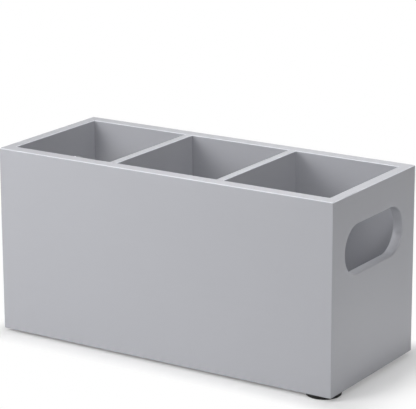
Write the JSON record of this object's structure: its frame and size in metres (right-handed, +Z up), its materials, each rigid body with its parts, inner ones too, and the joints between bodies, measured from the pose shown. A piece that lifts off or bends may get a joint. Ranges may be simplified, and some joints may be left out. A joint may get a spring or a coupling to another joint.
{
  "type": "silverware caddy",
  "caption": "Open-topped painted wooden caddy with cross dividers, a rounded hand slot in each end and rubber feet, for standing cutlery upright.",
  "frame": {"origin": "on the surface that the feet stand on, under the middle of the box", "axes": "+X along the length towards the right end, +Y from the front panel to the back panel, +Z up"},
  "size_m": [0.26, 0.109, 0.131],
  "materials": {
    "painted_wood": "smooth satin paint, cool light grey",
    "foot_rubber": "matte black moulded rubber",
    "adhesive": "black double-sided adhesive foam",
    "dowel_wood": "bare beech",
    "brad_steel": "bright drawn steel"
  },
  "bodies": {
    "root": {"front_panel": "painted_wood", "back_panel": "painted_wood", "left_end_panel": "painted_wood", "right_end_panel": "painted_wood", "base_panel": "painted_wood", "left_divider": "painted_wood", "right_divider": "painted_wood", "front_left_foot": "foot_rubber", "front_right_foot": "foot_rubber", "back_left_foot": "foot_rubber", "back_right_foot": "foot_rubber", "front_left_adhesive_disc": "adhesive", "front_right_adhesive_disc": "adhesive", "back_left_adhesive_disc": "adhesive", "back_right_adhesive_disc": "adhesive", "front_left_dowels": "dowel_wood", "front_right_dowels": "dowel_wood", "back_left_dowels": "dowel_wood", "back_right_dowels": "dowel_wood", "front_base_brads": "brad_steel", "back_base_brads": "brad_steel"}
  },
  "joints": []
}
